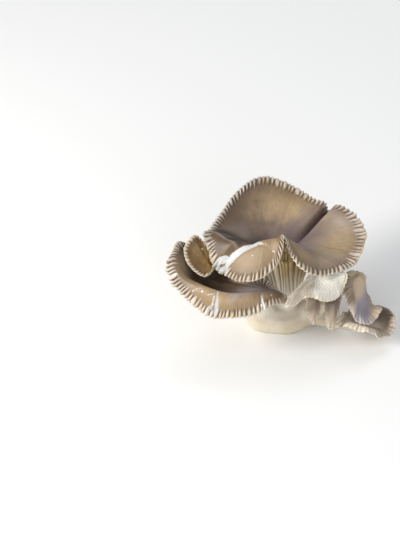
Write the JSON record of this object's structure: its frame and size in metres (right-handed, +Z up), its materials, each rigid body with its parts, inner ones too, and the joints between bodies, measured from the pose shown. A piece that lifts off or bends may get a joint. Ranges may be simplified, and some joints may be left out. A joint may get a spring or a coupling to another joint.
{
  "type": "oyster mushroom cluster",
  "caption": "Cluster of oyster mushrooms: wavy brown caps with crimped margins and cream gills, on white stems that join in a flat-cut butt.",
  "frame": {"origin": "middle of the flat cut under the butt, where the cluster stands", "axes": "+Z up, square to the cut; +X to the viewer's right, along the cluster's longest extent; -Y to the viewer"},
  "size_m": [0.181, 0.1206, 0.0923],
  "materials": {
    "cap_skin": "satin",
    "gill_flesh": "matte",
    "stem_flesh": "matte"
  },
  "bodies": {
    "root": {"cap_crown": "cap_skin", "cap_front": "cap_skin", "cap_left": "cap_skin", "cap_turned": "cap_skin", "cap_tongue_left": "cap_skin", "cap_tongue_right": "cap_skin", "cap_right": "cap_skin", "cap_ear": "cap_skin", "gills_crown": "gill_flesh", "gills_front": "gill_flesh", "gills_left": "gill_flesh", "gills_turned": "gill_flesh", "gills_tongue_left": "gill_flesh", "gills_tongue_right": "gill_flesh", "gills_right": "gill_flesh", "gills_ear": "gill_flesh", "stem_clump": "stem_flesh"}
  },
  "joints": []
}
